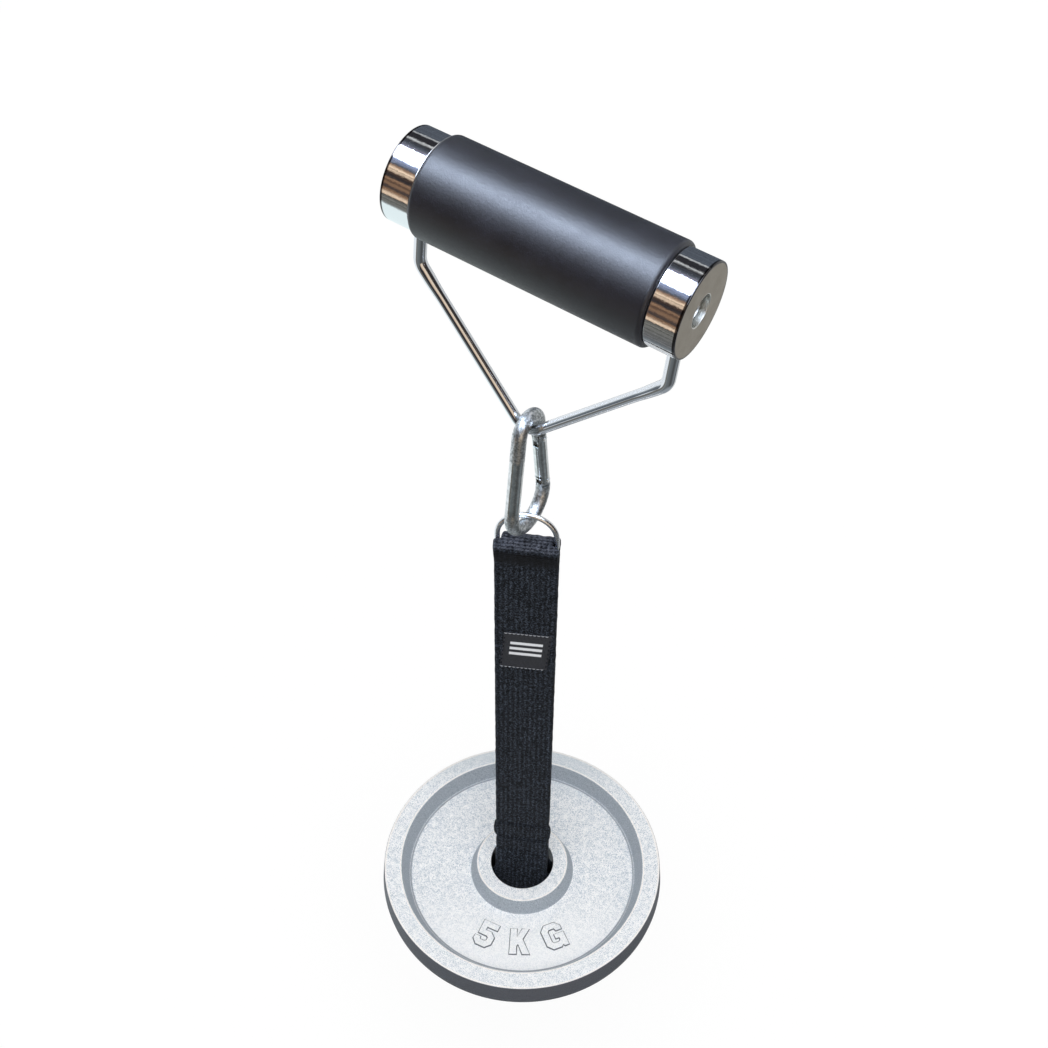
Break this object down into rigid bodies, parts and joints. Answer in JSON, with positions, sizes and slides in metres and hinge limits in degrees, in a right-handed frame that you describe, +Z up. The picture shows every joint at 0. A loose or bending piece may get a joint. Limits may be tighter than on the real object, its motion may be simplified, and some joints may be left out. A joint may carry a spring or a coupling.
{
  "type": "loading pin",
  "caption": "Thick rolling handle with a bent-rod bail, snap hook, D-ring and webbing strap that carries a cast weight plate on a cross bar.",
  "frame": {"origin": "middle of the handle, on its axis, where the hand holds it", "axes": "+Z up; the handle's axis lies in the XZ plane, its right end 5.2 degrees below +X as held; the hook's rod lies in the YZ plane with its gate towards +Y"},
  "size_m": [0.2304, 0.2304, 0.7108],
  "materials": {
    "grip_black": "satin black moulded sleeve with a fine grain",
    "chrome": "polished chrome plating",
    "turned_steel": "plain turned steel",
    "zinc": "bright zinc plating, lightly mottled",
    "bearing_plastic": "off-white bearing plastic",
    "webbing": "black woven webbing",
    "label_cloth": "black woven label, bare",
    "black_coat": "black coating on the steel bar",
    "cast_silver": "silver hammertone paint on cast iron"
  },
  "bodies": {
    "grip": {"grip_sleeve": "grip_black", "bush_left": "bearing_plastic", "bush_right": "bearing_plastic"},
    "frame": {"core_shaft": "turned_steel", "collar_left": "chrome", "collar_right": "chrome", "end_screw_left": "zinc", "end_screw_right": "zinc", "lock_washer_left": "zinc", "lock_washer_right": "zinc", "thrust_washer_left": "turned_steel", "thrust_washer_right": "turned_steel", "bail_pin_left": "turned_steel", "bail_pin_right": "turned_steel", "bail": "chrome"},
    "hook": {"hook_body": "zinc", "gate_rivet": "turned_steel"},
    "gate": {"gate": "zinc", "latch_pin": "turned_steel", "gate_plunger": "turned_steel", "gate_spring": "turned_steel"},
    "ring": {"d_ring": "zinc"},
    "strap": {"strap_webbing": "webbing", "label_patch": "label_cloth"},
    "bar": {"loading_bar": "black_coat"},
    "plate": {"weight_plate": "cast_silver"}
  },
  "joints": [
    {"name": "grip_spin", "type": "hinge", "parent": "grip", "child": "frame", "pos_m": [0, 0, 0], "axis": [0.9959, 0, -0.0906], "continuous": true},
    {"name": "hook_swing", "type": "hinge", "parent": "frame", "child": "hook", "pos_m": [-0.01173, 0, -0.14063], "axis": [1, 0, 0], "range_deg": [-70, 70]},
    {"name": "gate_open", "type": "hinge", "parent": "hook", "child": "gate", "pos_m": [-0.01173, 0.0123, -0.15676], "axis": [-1, 0, 0], "range_deg": [0, 25], "stiffness_Nm_per_rad": 0.12, "springref_deg": -34.38},
    {"name": "ring_swing", "type": "hinge", "parent": "hook", "child": "ring", "pos_m": [-0.01173, 0, -0.22163], "axis": [0, 1, 0], "range_deg": [-40, 40]},
    {"name": "strap_fold", "type": "hinge", "parent": "ring", "child": "strap", "pos_m": [-0.01173, 0, -0.24343], "axis": [0.9135, 0.4067, 0], "range_deg": [-70, 70]},
    {"name": "plate_lift", "type": "slide", "parent": "strap", "child": "plate", "axis": [0, 0, 1], "range_m": [0, 0.3]},
    {"name": "bar_pull", "type": "slide", "parent": "strap", "child": "bar", "axis": [0.9135, 0.4067, 0], "range_m": [0, 0.085]}
  ]
}
